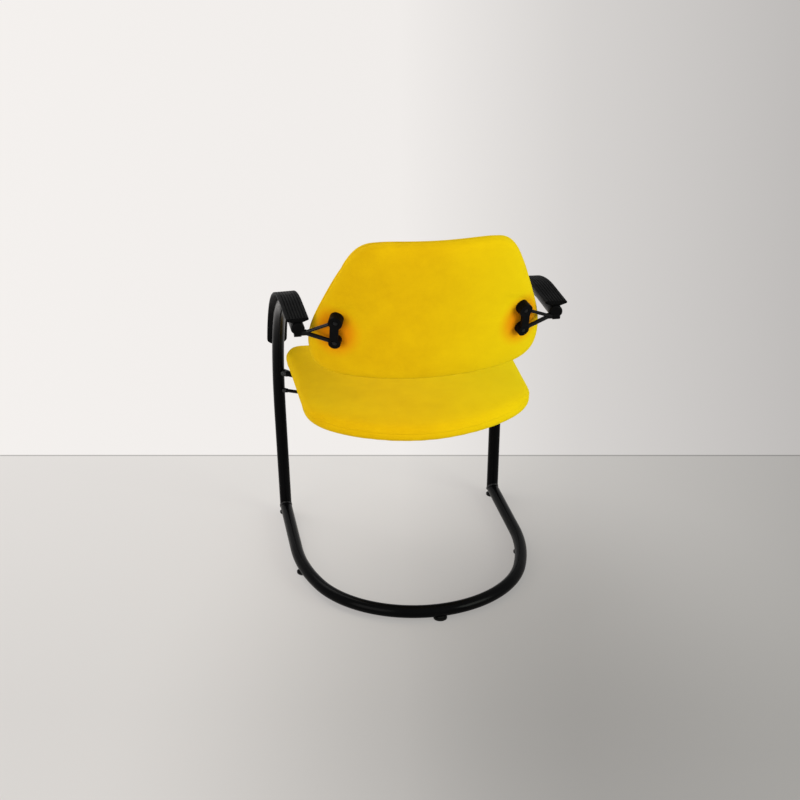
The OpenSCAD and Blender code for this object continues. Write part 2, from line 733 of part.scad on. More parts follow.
// Plug in the end of an arm tube, with a rounded cap and a barrel under it for the pivot
module arm_end(side) {
    tail_end = arm_bend_r + arm_tail_l;
    color(rubber_black) on_side(side) difference() {
        union() {
            on_arm() translate([0, tail_end, arm_z]) {
                translate([0, end_cap_round, 0]) rotate([90, 0, 0])
                    cylinder(h = spigot_l + end_cap_round, r = bore_r - fit_gap);
                rotate([-90, 0, 0]) translate([0, 0, fit_gap]) rotate_extrude() {
                    square([tube_r - end_cap_round, end_cap_t]);
                    square([tube_r, end_cap_t - end_cap_round]);
                    translate([tube_r - end_cap_round, end_cap_t - end_cap_round]) circle(r = end_cap_round);
                }
            }
            axle(lug_x, lug_x + lug_w, barrel_d);
        }
        axle(eye_x - cut_over, lug_x, max(eye_d, bush_flange_d) + 2 * eye_relief);
        axle(lug_x - cut_over, pocket_x + cut_over, bush_d + 2 * fit_gap);
        axle(pocket_x, lug_x + lug_w + tube_r, pocket_d + 2 * fit_gap);
    }
}

module pivot_bush(side) {
    color(zinc_grey) on_side(side) difference() {
        union() {
            axle(lug_x - fit_gap, pocket_x - fit_gap, bush_d);
            axle(lug_x - bush_flange_t, lug_x - fit_gap, bush_flange_d);
        }
        axle(lug_x - bush_flange_t - cut_over, pocket_x + cut_over, pin_d + 2 * fit_gap);
    }
}

module pivot_caps() {
    color(rubber_black) for (s = [-1, 1]) on_side(s) axle(cap_x, cap_x + cap_t, pocket_d);
}

// Pin that stands in the link's boss, with a groove for its clip
module pivot_pin(side) {
    color(zinc_grey) on_side(side) difference() {
        axle(eye_x + eye_l - pin_root + fit_gap, pin_end_x, pin_d);
        difference() {
            axle(pocket_x + soft_gap - fit_gap, pocket_x + soft_gap + clip_t + fit_gap, pin_d + cut_over);
            axle(pocket_x - cut_over, pin_end_x, pin_d - 2 * groove_depth);
        }
    }
}

module pivot_clips() {
    color(zinc_grey) for (s = [-1, 1]) on_side(s) difference() {
        axle(pocket_x + soft_gap, pocket_x + soft_gap + clip_t, clip_d);
        axle(pocket_x - cut_over, pin_end_x, pin_d - 2 * groove_depth + 2 * fit_gap);
    }
}

// V-shaped link: a boss on the pivot pin and two rods to the bracket
module link_legs(gap) {
    bar(link_eye, link_upper, upper_rod_d / 2 + gap);
    bar(link_eye, link_lower, lower_rod_d / 2 + gap);
}

module link_rod(side) {
    color(frame_black) on_side(side) difference() {
        union() {
            axle(eye_x, eye_x + eye_l, eye_d);
            link_legs(0);
        }
        axle(eye_x + eye_l - pin_root, eye_x + eye_l + cut_over, pin_d + 2 * fit_gap);
    }
}

// Place of one lobe's axis, out from the shell
module on_lobe(end) {
    translate([0, 0, end * lobe_pitch / 2]) rotate([-90, 0, 0]) children();
}

module back_bracket(side) {
    seat_n = back_shell_front + back_shell_t;
    color(rubber_black) on_side(side) difference() {
        on_bracket() {
            translate([0, seat_n, 0]) on_lobe(1) cylinder(h = bracket_reach - seat_n, d = lobe_upper_d);
            translate([0, seat_n, 0]) on_lobe(-1) cylinder(h = bracket_reach - seat_n, d = lobe_lower_d);
            translate([-bracket_web_in, bracket_reach - bracket_plate_t, -lobe_pitch / 2])
                cube([bracket_web_in + bracket_web_out, bracket_plate_t, lobe_pitch]);
        }
        on_bracket() for (e = [-1, 1]) {
            on_lobe(e) cylinder(h = bracket_reach + cut_over, d = back_screw_d + 2 * fit_gap);
            translate([0, bracket_reach - screw_sink, 0]) on_lobe(e) cylinder(h = screw_sink + cut_over, d = washer_d + 2 * fit_gap);
        }
        link_legs(fit_gap);
    }
}

module back_washers() {
    color(zinc_grey) for (s = [-1, 1]) on_side(s) on_bracket() for (e = [-1, 1])
        translate([0, bracket_reach - screw_sink + fit_gap, 0]) on_lobe(e) difference() {
            cylinder(h = washer_t, d = washer_d);
            translate([0, 0, -cut_over]) cylinder(h = washer_t + 2 * cut_over, d = back_screw_d + 2 * fit_gap);
        }
}

module back_screws() {
    head_n = bracket_reach - screw_sink + washer_t + 2 * fit_gap;
    tip_n = back_shell_front + tee_flange_t;
    color(zinc_grey) for (s = [-1, 1]) on_side(s) on_bracket() for (e = [-1, 1]) {
        translate([0, tip_n, 0]) on_lobe(e) cylinder(h = head_n - tip_n, d = back_screw_d);
        translate([0, head_n, 0]) on_lobe(e) cylinder(h = back_screw_head_t, d = back_screw_head_d);
    }
}

module back_tee_nuts() {
    color(zinc_grey) for (s = [-1, 1]) on_side(s) on_bracket() for (e = [-1, 1])
        translate([0, back_shell_front + fit_gap, 0]) on_lobe(e) mirror([0, 0, 1])
            tee_nut(back_shell_t - 4 * fit_gap, back_screw_d);
}

module back_shell() {
    half_turn = asin(back_wide_half_w / back_curve_r);
    color(ply_wood) on_chair() difference() {
        on_back() intersection() {
            translate([0, -back_curve_r, 0]) rotate([0, 0, 90 - half_turn])
                rotate_extrude(angle = 2 * half_turn, $fn = shell_facets)
                    translate([back_curve_r + back_shell_front, 0]) square([back_shell_t, back_h]);
            translate([0, back_t, 0]) rotate([90, 0, 0]) linear_extrude(height = 4 * back_t)
                polygon([for (i = [0:cushion_sides - 1]) let (a = turn_step * i)
                    [back_across(a, back_shell_share), back_rise(a, back_shell_share)]]);
        }
        for (s = [0, 1]) mirror([s, 0, 0]) on_bracket() for (e = [-1, 1]) {
            on_lobe(e) cylinder(h = back_t, d = tee_barrel_d + 2 * fit_gap);
            on_lobe(e) cylinder(h = back_shell_front + tee_flange_t + 2 * fit_gap, d = tee_flange_d + 2 * fit_gap);
        }
    }
}

// Front half of the back's upholstery, hollowed behind for the shell
module back_front_cushion() {
    half = back_t / 2;
    color(wool_yellow) on_chair() on_back() ring_stack(concat(
        [for (r = cushion_reach_shares) back_ring(r, -half * crown(r))],
        [back_ring(1, -soft_gap), back_ring(back_seam_share, -soft_gap),
            back_flat_ring(back_recess_share, -soft_gap),
            back_flat_ring(back_recess_share, back_shell_front - soft_gap)],
        [for (k = [recess_rings - 1:-1:1])
            back_flat_ring(back_recess_share * k / recess_rings, back_shell_front - soft_gap)]));
}

// Rear half of the back's upholstery, with holes for the brackets' lobes
module back_rear_cushion() {
    half = back_t / 2;
    count = len(cushion_reach_shares);
    color(wool_yellow) on_chair() difference() {
        on_back() ring_stack(concat(
            [for (k = [1:recess_rings]) back_flat_ring(back_recess_share * k / recess_rings,
                back_shell_front + back_shell_t + recess_gap)],
            [back_flat_ring(back_recess_share, soft_gap), back_ring(back_seam_share, soft_gap),
                back_ring(1, soft_gap)],
            [for (i = [count - 1:-1:0]) back_ring(cushion_reach_shares[i], half * crown(cushion_reach_shares[i]))]), 1);
        for (s = [0, 1]) mirror([s, 0, 0]) on_bracket() {
            on_lobe(1) cylinder(h = back_t, d = lobe_upper_d + 2 * soft_gap, $fn = 32);
            on_lobe(-1) cylinder(h = back_t, d = lobe_lower_d + 2 * soft_gap, $fn = 32);
        }
    }
}

floor_tube();
arm_tube(1);  // left_arm_tube
arm_tube(-1);  // right_arm_tube
frame_welds();
front_glide(1);  // front_left_glide
front_glide(-1);  // front_right_glide
side_glide(1);  // side_left_glide
side_glide(-1);  // side_right_glide
rear_glide();
arm_pad(1);  // left_arm_pad
arm_pad(-1);  // right_arm_pad
arm_pad_screws();
seat_cross_tube();
seat_brace_rod();
seat_bearer(1);  // left_seat_bearer
seat_bearer(-1);  // right_seat_bearer
seat_shell();
seat_screws();
seat_tee_nuts();
seat_cushion();
arm_end(1);  // left_arm_end
arm_end(-1);  // right_arm_end
pivot_bush(1);  // left_pivot_bush
pivot_bush(-1);  // right_pivot_bush
pivot_caps();
pivot_pin(1);  // left_pivot_pin
pivot_pin(-1);  // right_pivot_pin
pivot_clips();
link_rod(1);  // left_link_rod
link_rod(-1);  // right_link_rod
back_bracket(1);  // left_back_bracket
back_bracket(-1);  // right_back_bracket
back_screws();
back_washers();
back_tee_nuts();
back_shell();
back_front_cushion();
back_rear_cushion();
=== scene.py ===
import bpy
import numpy as np
from mathutils import Matrix


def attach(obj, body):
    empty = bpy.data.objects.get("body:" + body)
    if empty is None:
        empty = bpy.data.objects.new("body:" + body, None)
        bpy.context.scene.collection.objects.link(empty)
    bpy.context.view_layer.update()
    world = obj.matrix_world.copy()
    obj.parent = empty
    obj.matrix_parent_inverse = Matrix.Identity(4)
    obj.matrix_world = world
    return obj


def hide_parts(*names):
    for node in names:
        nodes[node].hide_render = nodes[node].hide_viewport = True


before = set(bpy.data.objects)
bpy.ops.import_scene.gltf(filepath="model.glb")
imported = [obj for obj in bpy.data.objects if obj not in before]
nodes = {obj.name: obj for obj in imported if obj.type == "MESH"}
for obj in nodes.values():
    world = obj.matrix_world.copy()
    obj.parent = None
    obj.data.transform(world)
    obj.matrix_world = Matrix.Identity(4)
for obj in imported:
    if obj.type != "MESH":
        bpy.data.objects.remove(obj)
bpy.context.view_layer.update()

# Camera. It stands behind the chair, a little to its left and above, where the photograph was taken.
# Its place, turn and lens were fitted to the frame's tubes.
azimuth, elevation, roll = np.radians([170.046, 22.99, -0.436])
behind = np.array([np.sin(azimuth) * np.cos(elevation), -np.cos(azimuth) * np.cos(elevation), np.sin(elevation)])
level = np.array([np.cos(azimuth), np.sin(azimuth), 0])
upward = np.cross(behind, level)
camera_spot = np.array([0.5702, 3.1040, 1.7420])
camera = bpy.data.objects.new("camera", bpy.data.cameras.new("camera"))
camera.data.lens = 69.64
camera.data.sensor_width = 36
camera.matrix_world = Matrix(np.vstack([
    np.column_stack([
        level * np.cos(roll) + upward * np.sin(roll),
        upward * np.cos(roll) - level * np.sin(roll),
        behind,
        camera_spot,
    ]),
    [0, 0, 0, 1],
]).tolist())
bpy.context.scene.collection.objects.link(camera)
bpy.context.scene.camera = camera


# Tubes and rods of the frame. Steel tube bent cold, welded, and powder coated in satin black,
# with the fine ripple that such a coat has and dull patches where hands and shoes rub it.
def new_finish(name):
    """An empty finish: its node tree, its shader, and the object's own coordinates."""
    finish = bpy.data.materials.new(name)
    finish.use_nodes = True
    tree = finish.node_tree
    place = tree.nodes.new("ShaderNodeTexCoord")
    return finish, tree, tree.nodes["Principled BSDF"], place.outputs


def step(tree, kind, inputs, **settings):
    """Adds one node, with its settings, and fills its inputs with numbers, colours or other nodes' outputs."""
    node = tree.nodes.new(kind)
    for key, value in settings.items():
        setattr(node, key, value)
    for key, value in inputs.items():
        if isinstance(value, bpy.types.NodeSocket):
            tree.links.new(value, node.inputs[key])
        else:
            node.inputs[key].default_value = value
    return node.outputs


def blend_colours(tree, share, low, high):
    """A colour between two, by a share from 0 to 1."""
    ramp = tree.nodes.new("ShaderNodeValToRGB")
    ramp.color_ramp.elements[0].color = (*low, 1)
    ramp.color_ramp.elements[1].color = (*high, 1)
    tree.links.new(share, ramp.inputs["Fac"])
    return ramp.outputs["Color"]


def build_fine_grain():
    """A node group for the relief of a skin. Its mask is a noise, and its normal is that of a surface which the
    noise raises by the distance times the strength."""
    group = bpy.data.node_groups.new("fine grain", "ShaderNodeTree")
    group.interface.new_socket("Vector", in_out="INPUT", socket_type="NodeSocketVector")
    for name, usual in (("Scale", 5.0), ("Detail", 2.0), ("Roughness", 0.5), ("Strength", 0.15),
                        ("Distance", 0.0003)):
        group.interface.new_socket(name, in_out="INPUT", socket_type="NodeSocketFloat").default_value = usual
    group.interface.new_socket("Mask", in_out="OUTPUT", socket_type="NodeSocketFloat")
    group.interface.new_socket("Normal", in_out="OUTPUT", socket_type="NodeSocketVector")
    given = group.nodes.new("NodeGroupInput").outputs
    result = group.nodes.new("NodeGroupOutput").inputs
    noise = step(group, "ShaderNodeTexNoise", {"Vector": given["Vector"], "Scale": given["Scale"],
                                               "Detail": given["Detail"], "Roughness": given["Roughness"]})
    relief = step(group, "ShaderNodeBump", {"Height": noise["Fac"], "Strength": given["Strength"],
                                            "Distance": given["Distance"]})
    group.links.new(noise["Fac"], result["Mask"])
    group.links.new(relief["Normal"], result["Normal"])
    return group


def dress(finish, *names):
    """Gives CAD nodes a finish, in place of the plain one that they come with."""
    for name in names:
        for entry in nodes[name].material_slots:
            entry.material = finish


fine_grain = build_fine_grain()
powder_coat, tree, shader, place = new_finish("satin black powder coat")
handled = step(tree, "ShaderNodeTexNoise", {"Vector": place["Object"], "Scale": 9.0, "Detail": 5.0,
                                            "Roughness": 0.6})
orange_peel = step(tree, "ShaderNodeGroup", {"Vector": place["Object"], "Scale": 620.0, "Strength": 0.12,
                                             "Distance": 0.0004}, node_tree=fine_grain)
dust = step(tree, "ShaderNodeTexNoise", {"Vector": place["Object"], "Scale": 2200.0, "Detail": 3.0})
gloss = step(tree, "ShaderNodeMapRange", {"Value": handled["Fac"], "From Min": 0.35, "From Max": 0.7,
                                          "To Min": 0.16, "To Max": 0.3})
tone = step(tree, "ShaderNodeMath", {0: handled["Fac"], 1: dust["Fac"]}, operation="MULTIPLY")
coat_tone = blend_colours(tree, tone["Value"], (0.0012, 0.0012, 0.0014), (0.0045, 0.0045, 0.005))
tree.links.new(coat_tone, shader.inputs["Base Color"])
shader.inputs["Specular IOR Level"].default_value = 0.035
tree.links.new(gloss["Result"], shader.inputs["Roughness"])
tree.links.new(orange_peel["Normal"], shader.inputs["Normal"])
dress(powder_coat, "floor_tube", "left_arm_tube", "right_arm_tube", "seat_cross_tube", "seat_brace_rod",
      "left_seat_bearer", "right_seat_bearer")

# Welds at the front corners and where the cross tube and the brace rod meet the uprights.
# Each is a bead laid in short overlapping ripples, and coated with the tubes.
weld_coat, tree, shader, place = new_finish("coated weld bead")
shader.inputs["Base Color"].default_value = (0.006, 0.006, 0.007, 1)
shader.inputs["Specular IOR Level"].default_value = 0.35
pools = step(tree, "ShaderNodeTexVoronoi", {"Vector": place["Object"], "Scale": 260.0})
spatter = step(tree, "ShaderNodeTexNoise", {"Vector": place["Object"], "Scale": 900.0})
bead = step(tree, "ShaderNodeMath", {0: pools["Distance"], 1: spatter["Fac"]}, operation="ADD")
shine = step(tree, "ShaderNodeMapRange", {"Value": spatter["Fac"], "To Min": 0.16, "To Max": 0.36})
tree.links.new(shine["Result"], shader.inputs["Roughness"])
lumps = step(tree, "ShaderNodeBump", {"Height": bead["Value"], "Strength": 0.6, "Distance": 0.0012})
tree.links.new(lumps["Normal"], shader.inputs["Normal"])
dress(weld_coat, "frame_welds")

# Glides. Five moulded plastic feet, pegged into the underside of the floor tube, matt and scuffed
# round their edges by the floor.
glide_plastic, tree, shader, place = new_finish("matt glide plastic")
pores = step(tree, "ShaderNodeGroup", {"Vector": place["Object"], "Scale": 1500.0, "Detail": 3.0,
                                       "Strength": 0.2}, node_tree=fine_grain)
scuffs = step(tree, "ShaderNodeTexNoise", {"Vector": place["Object"], "Scale": 160.0, "Detail": 6.0,
                                           "Roughness": 0.7})
scuffed_tone = blend_colours(tree, scuffs["Fac"], (0.002, 0.002, 0.0023), (0.009, 0.0088, 0.0085))
tree.links.new(scuffed_tone, shader.inputs["Base Color"])
shader.inputs["Specular IOR Level"].default_value = 0.15
worn = step(tree, "ShaderNodeMapRange", {"Value": scuffs["Fac"], "To Min": 0.42, "To Max": 0.72})
tree.links.new(worn["Result"], shader.inputs["Roughness"])
tree.links.new(pores["Normal"], shader.inputs["Normal"])
dress(glide_plastic, "front_left_glide", "front_right_glide", "side_left_glide", "side_right_glide", "rear_glide")


# Armrest pads. Soft black rubber moulded over the arm tubes, flat on top with long shallow ribs,
# rounded at its edges and at the corners of the drop in front, and screwed on from below.
pad_half_w, pad_top, edge_r, lip_r = 0.023, 0.0225, 0.0022, 0.0015
arm_bend_r, pad_start, pad_tail = 0.392, np.radians(27.5), 0.104
pad_l = arm_bend_r * (np.pi / 2 - pad_start) + pad_tail


def pad_profile(across):
    """Top and underside of the pad at places across it. The top is level, less six rounded grooves, and falls off
    round its edges along a quarter circle. The underside slopes in towards the tube and hollows round it."""
    groove_pitch, groove_depth, grooved_half_w = 0.006, 0.0022, 0.018
    saddle_r, saddle_half_w, inner_rise, outer_rise = 0.01415, 0.009, 0.0126, 0.0175
    side = np.abs(across)
    ribs = np.clip(np.cos(2 * np.pi * across / groove_pitch + np.pi), 0, 1) ** 1.3
    edge = np.clip(side - (pad_half_w - edge_r), 0, edge_r)
    top = pad_top - groove_depth * ribs * (side < grooved_half_w) - (edge_r - np.sqrt(edge_r**2 - edge**2))
    lip = np.clip(side - (pad_half_w - lip_r), 0, lip_r)
    slope = inner_rise + (outer_rise - inner_rise) * (side - saddle_half_w) / (pad_half_w - saddle_half_w)
    saddle = np.sqrt(np.maximum(saddle_r**2 - across**2, 0))
    underside = np.where(side > saddle_half_w, np.maximum(slope, inner_rise), saddle)
    return top, underside + lip_r - np.sqrt(lip_r**2 - lip**2)


def arm_place(along, out, across, side):
    """Place on an armrest, from the length along the tube since the pad's front, the height above the tube's axis
    and the place across. The axis runs round the sweep's circle to its top and then straight back."""
    upright_l, foot_x, foot_y, foot_z = 0.25, 0.26, -0.2967, 0.02
    splay, toe = np.radians([1.1, 0.6])
    turn = np.minimum(pad_start + along / arm_bend_r, np.pi / 2)
    tail = np.maximum(along - arm_bend_r * (np.pi / 2 - pad_start), 0)
    y = arm_bend_r - (arm_bend_r + out) * np.cos(turn) + tail
    z = upright_l + (arm_bend_r + out) * np.sin(turn)
    x, z = across * np.cos(splay) + z * np.sin(splay), z * np.cos(splay) - across * np.sin(splay)
    x, y = x * np.cos(toe) - y * np.sin(toe), x * np.sin(toe) + y * np.cos(toe)
    return np.stack([side * (x + foot_x), y + foot_y, z + foot_z], axis=-1)


def grid_faces(numbers, flip=False):
    """Four-cornered faces between neighbouring points of a grid of point numbers."""
    corners = [numbers[:-1, :-1], numbers[:-1, 1:], numbers[1:, 1:], numbers[1:, :-1]]
    faces = np.stack(corners, axis=-1).reshape(-1, 4)
    return faces[:, ::-1] if flip else faces


def new_piece(name, points, faces, finish, flat=None):
    """A smooth mesh piece at the origin. flat gives each point's place on the cut cloth, in metres, as a UV
    map."""
    mesh = bpy.data.meshes.new(name)
    mesh.from_pydata(points.reshape(-1, 3).tolist(), [], [f for part in faces for f in np.asarray(part).tolist()])
    if flat is not None:
        corners = np.zeros(len(mesh.loops), np.int32)
        mesh.loops.foreach_get("vertex_index", corners)
        spread = flat.reshape(-1, 2)[corners].astype(np.float32)
        mesh.uv_layers.new(name="cloth").data.foreach_set("uv", spread.ravel())
    mesh.materials.append(finish)
    mesh.shade_smooth()
    piece = bpy.data.objects.new(name, mesh)
    bpy.context.scene.collection.objects.link(piece)
    return piece


pad_rubber, tree, shader, place = new_finish("soft black rubber")
leather_grain = step(tree, "ShaderNodeTexVoronoi", {"Vector": place["Object"], "Scale": 1400.0})
palm_polish = step(tree, "ShaderNodeTexNoise", {"Vector": place["Object"], "Scale": 30.0, "Detail": 4.0})
rubber_tone = blend_colours(tree, palm_polish["Fac"], (0.0015, 0.0015, 0.0017), (0.0045, 0.0045, 0.0048))
tree.links.new(rubber_tone, shader.inputs["Base Color"])
shader.inputs["Specular IOR Level"].default_value = 0.014
polish = step(tree, "ShaderNodeMapRange", {"Value": palm_polish["Fac"], "From Min": 0.3, "From Max": 0.7,
                                           "To Min": 0.36, "To Max": 0.52})
tree.links.new(polish["Result"], shader.inputs["Roughness"])
grain = step(tree, "ShaderNodeBump", {"Height": leather_grain["Distance"], "Strength": 0.25, "Distance": 0.0003})
tree.links.new(grain["Normal"], shader.inputs["Normal"])

edge_places = pad_half_w - edge_r + edge_r * np.sin(np.linspace(0, np.pi / 2, 8))
ribbed_half_w, front_end, rear_end = 0.0206, 0.006, 0.005
across = np.concatenate([-edge_places[::-1], np.linspace(-ribbed_half_w, ribbed_half_w, 99), edge_places])
top, underside = pad_profile(across)
middle = (top + underside) / 2
front_round, rear_round, corner_r = 0.0025, 0.0018, 0.012
end_turns = np.linspace(0, np.pi / 2, 7)
front_rows = front_round * (1 - np.cos(end_turns))
rear_rows = pad_l - rear_round * (1 - np.cos(end_turns[::-1]))
rows = np.concatenate([front_rows, np.linspace(front_end, pad_l - rear_end, 90), rear_rows])
fullness = np.concatenate([np.sin(end_turns), np.ones(90), np.sin(end_turns[::-1])])[:, None]
corner = np.clip(np.abs(across) - (pad_half_w - corner_r), 0, corner_r)
inset = (corner_r - np.sqrt(corner_r**2 - corner**2)) * np.exp(-rows[:, None] / corner_r)
along = rows[:, None] + inset
for side, name in ((1, "left_arm_pad"), (-1, "right_arm_pad")):
    upper = arm_place(along, middle + (top - middle) * fullness, across, side)
    lower = arm_place(along, middle + (underside - middle) * fullness, across, side)
    ring = np.concatenate([upper, lower[:, ::-1]], axis=1)
    numbers = np.arange(ring.shape[0] * ring.shape[1]).reshape(ring.shape[:2])
    closed = np.column_stack([numbers, numbers[:, 0]])
    pad = new_piece(name + "_cover", ring, [grid_faces(closed, side < 0)], pad_rubber)
    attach(pad, "frame")
    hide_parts(name)

# T-nuts of the seat and the back, and clips on the pivot pins. Pressed steel with a zinc coat that
# has gone slightly dull.
zinc, tree, shader, place = new_finish("dull zinc plate")
shader.inputs["Metallic"].default_value = 1
plating = step(tree, "ShaderNodeGroup", {"Vector": place["Object"], "Scale": 420.0, "Detail": 6.0,
                                         "Roughness": 0.7}, node_tree=fine_grain)
zinc_tone = blend_colours(tree, plating["Mask"], (0.42, 0.43, 0.45), (0.7, 0.7, 0.72))
tree.links.new(zinc_tone, shader.inputs["Base Color"])
dullness = step(tree, "ShaderNodeMapRange", {"Value": plating["Mask"], "To Min": 0.22, "To Max": 0.5})
tree.links.new(dullness["Result"], shader.inputs["Roughness"])
tree.links.new(plating["Normal"], shader.inputs["Normal"])
dress(zinc, "seat_tee_nuts", "pivot_clips", "back_tee_nuts")

# Washers under the bracket screws. Pressed steel, of which the lower pair is bright and the upper
# pair is painted as dark as the screws, a painted shade.
washer_steel, tree, shader, place = new_finish("washer steel")
shader.inputs["Metallic"].default_value = 1
plating = step(tree, "ShaderNodeGroup", {"Vector": place["Object"], "Scale": 420.0, "Detail": 6.0,
                                         "Roughness": 0.7}, node_tree=fine_grain)
axes = step(tree, "ShaderNodeSeparateXYZ", {"Vector": place["Object"]})
# Painted shade: washers above this height are painted nearly black.
painted_upper_shade = step(tree, "ShaderNodeMapRange", {"Value": axes["Z"], "From Min": 0.65, "From Max": 0.66})
bright = blend_colours(tree, plating["Mask"], (0.5, 0.51, 0.53), (0.8, 0.8, 0.82))
washer_tone_with_shade = step(tree, "ShaderNodeMix", {"Factor": painted_upper_shade["Result"], 6: bright, 7: (0.006, 0.006, 0.007, 1)},
                 data_type="RGBA")
tree.links.new(washer_tone_with_shade[2], shader.inputs["Base Color"])
shader.inputs["Roughness"].default_value = 0.3
dress(washer_steel, "back_washers")

# Screws of the pads, the seat and the brackets, and the pivot pins. Steel blackened in hot salts and
# oiled, with the oxide rubbed thin here and there.
blacked, tree, shader, place = new_finish("blackened steel")
shader.inputs["Metallic"].default_value = 0.6
oxide = step(tree, "ShaderNodeGroup", {"Vector": place["Object"], "Scale": 300.0, "Detail": 6.0,
                                       "Roughness": 0.7}, node_tree=fine_grain)
oxide_tone = blend_colours(tree, oxide["Mask"], (0.004, 0.004, 0.0045), (0.02, 0.02, 0.021))
tree.links.new(oxide_tone, shader.inputs["Base Color"])
shader.inputs["Roughness"].default_value = 0.34
shader.inputs["Specular IOR Level"].default_value = 0.3
tree.links.new(oxide["Normal"], shader.inputs["Normal"])
dress(blacked, "arm_pad_screws", "seat_screws", "back_screws", "left_pivot_pin", "right_pivot_pin")

# Shells of the seat and the back. Beech veneers glued in a curved mould, about a millimetre each,
# with the grain running across and the layers showing at the cut edges.
plywood, tree, shader, place = new_finish("moulded beech plywood")
fibres = step(tree, "ShaderNodeMapping", {"Vector": place["Object"], "Scale": (9.0, 160.0, 160.0)})
grain = step(tree, "ShaderNodeTexNoise", {"Vector": fibres["Vector"], "Scale": 1.0, "Detail": 6.0,
                                          "Roughness": 0.65})
flecks = step(tree, "ShaderNodeGroup", {"Vector": fibres["Vector"], "Scale": 7.0, "Strength": 0.2,
                                        "Distance": 0.0004}, node_tree=fine_grain)
figure = step(tree, "ShaderNodeMath", {0: grain["Fac"], 1: flecks["Mask"]}, operation="MULTIPLY")
beech_tone = blend_colours(tree, figure["Value"], (0.42, 0.25, 0.12), (0.78, 0.58, 0.36))
tree.links.new(beech_tone, shader.inputs["Base Color"])
shader.inputs["Roughness"].default_value = 0.55
tree.links.new(flecks["Normal"], shader.inputs["Normal"])
dress(plywood, "seat_shell", "back_shell")


# Seat cushion. Moulded foam on the seat shell, in a cover of yellow felted wool cut as a top and
# a lower panel that meet in a seam round the rim, pulled tight and stapled under the shell.
def even_shares(half_span, half_thick, rows):
    """Shares of the way from the middle to the rim, at even steps along the cushion's section. The section is the
    curve share^4 + thickness^4 = 1. Two closer rows stand at the seam."""
    even_stop, close_row = 0.004, 0.0016
    turn = np.linspace(0, np.pi / 2, 500)
    section = np.column_stack([half_span * np.sqrt(np.sin(turn)), half_thick * np.sqrt(np.cos(turn))])
    length = np.concatenate([[0], np.cumsum(np.linalg.norm(np.diff(section, axis=0), axis=1))])
    steps = np.concatenate([np.linspace(0, length[-1] - even_stop, rows), length[-1] - np.array([close_row, 0])])
    shares = np.interp(steps, length, np.sqrt(np.sin(turn)))
    return np.concatenate([-shares[:0:-1], shares]), np.concatenate([-steps[:0:-1], steps])


def outline_grid(across, along, low_power, high_power):
    """Places in a rounded outline for a square grid. Each coordinate is shortened by a power of the other, so
    that the grid's border falls on the curve across^n + along^n = 1. Gives the share of the way to the rim
    too."""
    p, q = np.meshgrid(across, along)
    n = np.where(q > 0, high_power, low_power)
    x = p * (1 - np.abs(q) ** n / 2) ** (1 / n)
    y = q * (1 - np.abs(p) ** n / 2) ** (1 / n)
    return x, y, np.clip((np.abs(x) ** n + np.abs(y) ** n) ** (1 / n), 0, 1)


def seat_place(x, y, height):
    """Place on the seat for shares across and towards the front, and a height above the shell's underside. The
    half width is a parabola through three widths, the rear edge bows back, and the whole dishes along a
    circle."""
    rear_y, shell_z, depth, slope = 0.1995, 0.3763, 0.444, np.radians(2)
    rear_half_w, middle_half_w, front_half_w = 0.2503, 0.2531, 0.2595
    dished_half_w, dish_depth, sweep = 0.247, 0.02, 0.0785
    dish_r = dished_half_w**2 / (2 * dish_depth)
    t = (1 + y) / 2
    half_w = (rear_half_w * (1 - t) * (1 - 2 * t) + 4 * middle_half_w * t * (1 - t)
              + front_half_w * t * (2 * t - 1))
    u = half_w * x
    s = -depth * t - sweep * (u / dished_half_w) ** 2 * (1 - t)
    up = height + dish_r - np.sqrt(dish_r**2 - u**2)
    return np.stack([u, rear_y + s * np.cos(slope) + up * np.sin(slope),
                     shell_z - s * np.sin(slope) + up * np.cos(slope)], axis=-1)


def shared_border(rows, columns):
    """Point numbers of two grids of the same size that share the points of their border."""
    first = np.arange(rows * columns).reshape(rows, columns)
    second = first.copy()
    second[1:-1, 1:-1] = rows * columns + np.arange((rows - 2) * (columns - 2)).reshape(rows - 2, columns - 2)
    return first, second


def blow_up(name, points, faces, held, pressure, cap):
    """Points of a cover after the foam has pushed it out: cloth under even pressure for 20 frames without
    gravity, with some points held by a share, and no point moved further than the cap."""
    trial = new_piece(name, points, faces, plywood)
    group = trial.vertex_groups.new(name="held")
    for number in np.flatnonzero(held > 0):
        group.add([int(number)], float(held[number]), "REPLACE")
    cloth = trial.modifiers.new("cover", "CLOTH")
    cloth.settings.quality = 6
    cloth.settings.mass = 0.3
    cloth.settings.vertex_group_mass = "held"
    cloth.settings.use_pressure = True
    cloth.settings.uniform_pressure_force = pressure
    cloth.settings.effector_weights.gravity = 0
    cloth.collision_settings.use_collision = False
    cloth.point_cache.frame_start, cloth.point_cache.frame_end = 1, 20
    for moment in range(1, 21):
        bpy.context.scene.frame_set(moment)
    found = np.zeros(points.size, np.float32)
    shape = trial.evaluated_get(bpy.context.evaluated_depsgraph_get())
    shape.data.vertices.foreach_get("co", found)
    bpy.data.objects.remove(trial)
    bpy.context.scene.frame_set(1)
    moved = found.reshape(-1, 3) - points
    far = np.linalg.norm(moved, axis=1, keepdims=True)
    return points + moved * np.minimum(1, cap / np.maximum(far, 1e-9))


def sew(points, numbers, depth):
    """Draws the border of a cover in towards its middle by the seam's depth."""
    border = np.unique(np.concatenate([numbers[0], numbers[-1], numbers[:, 0], numbers[:, -1]]))
    inward = points.mean(axis=0) - points[border]
    points[border] += depth * inward / np.linalg.norm(inward, axis=1, keepdims=True)


def finish_cushion(piece, body, *stands_for):
    smooth = piece.modifiers.new("rounded", "SUBSURF")
    smooth.levels = smooth.render_levels = 1
    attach(piece, body)
    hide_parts(*stands_for)


